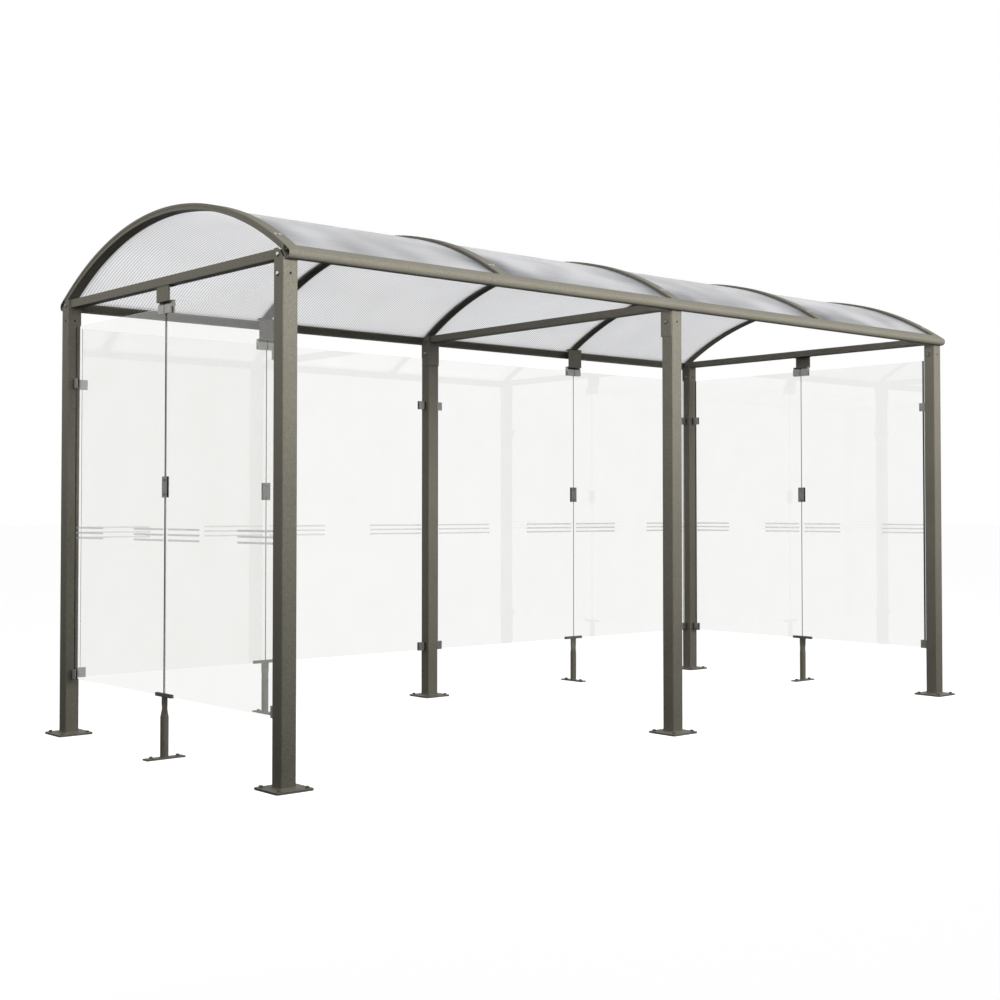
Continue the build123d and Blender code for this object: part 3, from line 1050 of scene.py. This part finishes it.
@dataclass
class Fittings:
    """Hangers, head clamps, post clamps, joint clips and feet, with their rubbers and screws."""

    head_width_mm: float = 62.0
    head_thickness_mm: float = 32.0
    glass_mm: float = 8.0
    joint_mm: float = 6.0
    lining_mm: float = 2.5
    lining_proud_mm: float = 1.5
    head_lining_mm: float = 1.4
    head_lining_proud_mm: float = 0.4
    clip_thickness_mm: float = 15.6
    clip_screw_mm: float = 16.0
    neck_mm: float = 14.0
    neck_slim_mm: float = 1.5
    neck_inset_mm: float = 3.0
    neck_round_mm: float = 1.5
    overlap_mm: float = 1.0
    clearance_mm: float = 0.3
    clamp_reach_mm: float = 59.0
    clamp_thickness_mm: float = 22.0
    clamp_height_mm: float = 55.0
    anchor_reach_mm: float = 75.0
    foot_plate_mm: float = 8.0
    # Height and overhang of the black strip under each beam, which is painted shadow
    shadow_line_mm: float = 3.5
    shadow_line_rim_mm: float = 1.2
    clip_half_width_mm: float = 26.0
    pad_shadow_rim_mm: float = 3.0

    def build(self) -> None:
        """Dress all fittings, and add their small parts joint by joint."""
        for joint in JOINTS:
            dress(f"hanger_{joint.name}", COAT, 0.8)
            dress(f"head_clamps_{joint.name}", STAINLESS, 1.0)
            dress(f"foot_{joint.name}", COAT, 0.6)
            self.head_rubber(joint)
            self.foot_anchors(joint)
            self.shadow_line_strip(joint)
        dress("joint_clips", DULL_STEEL, 0.6)
        self.clip_screws()
        for joint in JOINTS:
            dress(f"post_clamps_{joint.name}", STAINLESS, 1.0)
            self.clamp_rubbers(joint)

    def shadow_line_strip(self, joint: Joint) -> None:
        """Put a thin black rubber strip between a hanger and the beam over it, as painted shadow of the gap
        there.

        Args:
            joint: Which glass joint.
        """
        low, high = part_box(f"hanger_{joint.name}")
        rim = Vector((self.shadow_line_rim_mm * MM, self.shadow_line_rim_mm * MM, 0))
        floor = Vector((low.x, low.y, high.z - self.shadow_line_mm * MM))
        shapes = Shapes()
        shapes.block(floor - rim, high + rim)
        shapes.piece(f"hanger_shadow_line_{joint.name}", RUBBER, Slot.FITTINGS)

    def head_rubber(self, joint: Joint) -> None:
        """Fill the gap between two head clamps, and line their outer ends.

        Args:
            joint: Which glass joint.
        """
        low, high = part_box(f"head_clamps_{joint.name}")
        half_gap = self.joint_mm / 2 * MM
        half_deep = self.head_thickness_mm / 2 * MM
        glass = self.glass_mm / 2 * MM
        end = half_gap + self.head_width_mm * MM
        proud, lip = self.head_lining_proud_mm * MM, self.head_lining_mm * MM
        glass_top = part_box("glass_back_1")[1].z
        shapes = Shapes()
        filled = (-half_deep + MM, half_deep - MM)
        joint.block(shapes, (-half_gap, half_gap), filled, (low.z + MM, high.z - 2 * MM))
        for side in (-1, 1):
            for face in (-1, 1):
                run = (side * (end - MM), side * (end + proud))
                deep = (face * (glass + 0.4 * MM), face * (glass + lip))
                joint.block(shapes, run, deep, (low.z, glass_top + lip))
        shapes.piece(f"head_rubber_{joint.name}", RUBBER, Slot.FITTINGS)

    def foot_anchors(self, joint: Joint) -> None:
        """Add the two anchor bolts of a foot, across the glass.

        Args:
            joint: Which glass joint.
        """
        shapes = Shapes()
        for side in (-1, 1):
            aside = joint.across * side * self.anchor_reach_mm * MM
            FIXINGS.hex_bolt(shapes, joint.centre + aside + UP * self.foot_plate_mm * MM, UP)
        shapes.piece(f"foot_bolts_{joint.name}", ANCHOR, Slot.FITTINGS)

    def clip_screws(self) -> None:
        """Add two screws and a rubber pad to each side of each joint clip, the pad's rim past the plate being
        painted shadow.
        """
        low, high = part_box("joint_clips")
        half = self.clip_thickness_mm / 2 * MM
        glass = self.glass_mm / 2 * MM
        # Painted shadow: the rubber pad reaches past the clip plate as a dark rim
        reach = (self.clip_half_width_mm + self.pad_shadow_rim_mm) * MM
        for joint in JOINTS:
            shapes, pads = Shapes(), Shapes()
            for side in (-1, 1):
                for height in (low.z + self.clip_screw_mm * MM, high.z - self.clip_screw_mm * MM):
                    seat = joint.centre + joint.across * side * half + UP * height
                    FIXINGS.button_screw(shapes, seat, joint.across * side)
                deep = (side * (glass + 0.1 * MM), side * (glass + self.lining_mm * MM))
                joint.block(pads, (-reach, reach), deep, (low.z - MM, high.z + MM))
            shapes.piece(f"clip_screws_{joint.name}", ANCHOR, Slot.FITTINGS)
            pads.piece(f"clip_pads_{joint.name}", RUBBER, Slot.FITTINGS)

    def clamp_rubbers(self, joint: Joint) -> None:
        """Cover the necks of a wall's post clamps with black rubber, which also stands for the shade in the
        gap between post and clamp as painted shade, and line their mouths with rubber.

        Args:
            joint: The glass joint between the wall's clamps.
        """
        low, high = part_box(f"post_clamps_{joint.name}")
        centre = (low + high) / 2
        half_run = (high.x - low.x if joint.in_x else high.y - low.y) / 2
        thick = self.clamp_thickness_mm / 2 - self.neck_slim_mm
        glass, gap = self.glass_mm / 2, self.clearance_mm
        reach = half_run / MM
        mouth = reach - self.clamp_reach_mm
        neck = (reach - gap, reach - self.neck_mm + gap)
        spans = [(*neck, -thick, thick, self.neck_inset_mm, self.neck_round_mm)]
        for face in (-1, 1):
            skin = (face * (glass + gap), face * (glass + self.lining_mm))
            spans.append((mouth + self.overlap_mm, mouth - self.lining_proud_mm, *skin, 0.0, 0.0))
        shapes = Shapes()
        for side in (-1, 1):
            for bottom in (low.z, high.z - self.clamp_height_mm * MM):
                for near, far, left, right, inset, rounding in spans:
                    one = centre + joint.along * side * near * MM + joint.across * left * MM
                    two = centre + joint.along * side * far * MM + joint.across * right * MM
                    one.z, two.z = bottom + inset * MM, bottom + (self.clamp_height_mm - inset) * MM
                    shapes.block(one, two, rounding * MM)
        shapes.piece(f"clamp_rubbers_{joint.name}", RUBBER, Slot.FITTINGS)


@dataclass(frozen=True)
class Softbox:
    """A long flat lamp, given by its middle, size, heading and power.

    It only lights. Glass and metal mirror the plain white studio instead of it.
    """

    name: str
    place: tuple[float, float, float]
    heading: tuple[float, float, float]
    length: float
    height: float
    power: float

    def build(self) -> None:
        """Hang the lamp with its long side level."""
        data = bpy.data.lights.new(self.name, "AREA")
        data.shape = "RECTANGLE"
        data.size = self.length
        data.size_y = self.height
        data.energy = self.power
        made = bpy.data.objects.new(self.name, data)
        made.visible_camera = False
        made.visible_glossy = False
        made.visible_transmission = False
        made.location = self.place
        made.rotation_mode = "QUATERNION"
        made.rotation_quaternion = Vector(self.heading).to_track_quat("-Z", "Y")
        bpy.context.scene.collection.objects.link(made)


@dataclass
class Studio:
    """Plain white studio: floor, dim sky, two long softboxes and the camera."""

    camera_place: tuple[float, float, float] = (-6.251, -6.752, 1.252)
    camera_turn_deg: tuple[float, float, float] = (91.453, 0.0, -41.0992)
    lens_mm: float = 52.833
    sensor_mm: float = 36.0
    shift_y: float = -0.02556
    floor_half: float = 120.0
    floor_paint: str = "#A0A0A0"
    floor_glow: float = 0.93
    near_floor: float = 6.0
    far_floor: float = 16.0
    near_painted_glow: float = 0.025
    far_painted_glow: float = 0.32
    sky_level: float = 0.15
    front: Softbox = Softbox("front_softbox", (2.1, -3.8, 2.9), (0.08, 1, 0), 12.8, 1.0, 420.0)
    left: Softbox = Softbox("left_softbox", (-4.8, 0.6, 3.0), (1, 0, 0), 4.0, 1.0, 38.0)

    def build(self) -> None:
        """Set up camera, floor, world and lamps."""
        scene = bpy.context.scene
        scene.view_settings.view_transform = "Standard"
        self.camera(scene)
        self.floor()
        self.world(scene)
        self.front.build()
        self.left.build()

    def camera(self, scene: bpy.types.Scene) -> None:
        """Stand the camera where the photograph was taken from.

        Args:
            scene: Scene that gets the camera.
        """
        data = bpy.data.cameras.new("camera")
        data.lens = self.lens_mm
        data.sensor_width = self.sensor_mm
        data.shift_y = self.shift_y
        data.clip_end = 1000.0
        made = bpy.data.objects.new("camera", data)
        made.location = self.camera_place
        made.rotation_euler = [math.radians(turn) for turn in self.camera_turn_deg]
        scene.collection.objects.link(made)
        scene.camera = made

    def any_ray(self, tree: Tree, kinds: tuple[str, ...]) -> Node | Socket:
        """Return a value that is 1 for rays of any of the given kinds.

        Args:
            tree: Node tree that asks.
            kinds: Output names of the Light Path node.

        Returns:
            The node or socket with 0 or 1.
        """
        rays = add_node(tree, "LightPath").outputs
        found = rays[kinds[0]]
        for kind in kinds[1:]:
            found = add_node(tree, "Math", {"operation": "MAXIMUM"}, {0: found, 1: rays[kind]})
        return found

    def floor(self) -> None:
        """Lay a wide floor that is seen as white, with the shelter's soft shadow.

        Blurred reflections and bounced light see it glow dim grey under the shelter and white farther out.
        This glow is painted light and shade on the floor; it keeps the undersides dark and grades the posts
        from foot to head.
        """
        data = bpy.data.meshes.new("floor")
        half = self.floor_half
        corners = [(-half, -half, 0), (half, -half, 0), (half, half, 0), (-half, half, 0)]
        data.from_pydata(corners, [], [(0, 1, 2, 3)])
        made = bpy.data.objects.new("floor", data)
        made.location.z = -0.5 * MM
        bpy.context.scene.collection.objects.link(made)
        paint = bpy.data.materials.new("studio_floor_white")
        tree = empty_tree(paint)
        lit = add_node(tree, "BsdfDiffuse", {"Color": linear(self.floor_paint)})
        own = add_node(tree, "Emission", {"Color": WHITE, "Strength": self.floor_glow})
        shaded = add_node(tree, "AddShader", links={0: lit, 1: own})
        plain = add_node(tree, "Emission", {"Color": WHITE, "Strength": 1.0})
        mirrored = self.any_ray(tree, ("Is Transmission Ray", "Is Glossy Ray"))
        white = add_node(tree, "MixShader", links={0: mirrored, 1: shaded, 2: plain})
        place = add_node(tree, "TexCoord").outputs["Object"]
        away = add_node(tree, "VectorMath", {"operation": "LENGTH"}, {0: place}).outputs["Value"]
        reach = {"interpolation_type": "SMOOTHSTEP", "From Min": self.near_floor, "From Max": self.far_floor}
        levels = {"To Min": self.near_painted_glow, "To Max": self.far_painted_glow}
        level = add_node(tree, "MapRange", reach | levels, {"Value": away})
        # Painted light and shade: for reflected and bounced rays the floor glows dim near the shelter and
        # bright farther out
        pool = add_node(tree, "Emission", {"Color": WHITE}, {"Strength": level})
        clear_view = self.any_ray(tree, ("Is Camera Ray", "Is Singular Ray"))
        shown = add_node(tree, "MixShader", links={0: clear_view, 1: pool, 2: white})
        add_node(tree, "OutputMaterial", links={"Surface": shown})
        data.materials.append(paint)
        log.info("laid the floor")

    def world(self, scene: bpy.types.Scene) -> None:
        """Light from a dim even sky, which itself is seen as plain white.

        Args:
            scene: Scene that gets the world.
        """
        made = bpy.data.worlds.new("studio_sky")
        tree = empty_tree(made)
        light = add_node(tree, "Background", {"Color": WHITE, "Strength": self.sky_level})
        white = add_node(tree, "Background", {"Color": WHITE, "Strength": 1.0})
        seen = self.any_ray(tree, ("Is Camera Ray", "Is Glossy Ray", "Is Transmission Ray"))
        shown = add_node(tree, "MixShader", links={0: seen, 1: light, 2: white})
        add_node(tree, "OutputWorld", links={"Surface": shown})
        scene.world = made


def main() -> None:
    """Build the studio and then each sub-assembly in order."""
    logging.basicConfig(level=logging.INFO, format="%(name)s: %(message)s")
    for part in (Studio(), Posts(), Roof(), Glazing(), Fittings()):
        log.info("building %s", type(part).__name__)
        part.build()


if __name__ == "__main__":
    main()
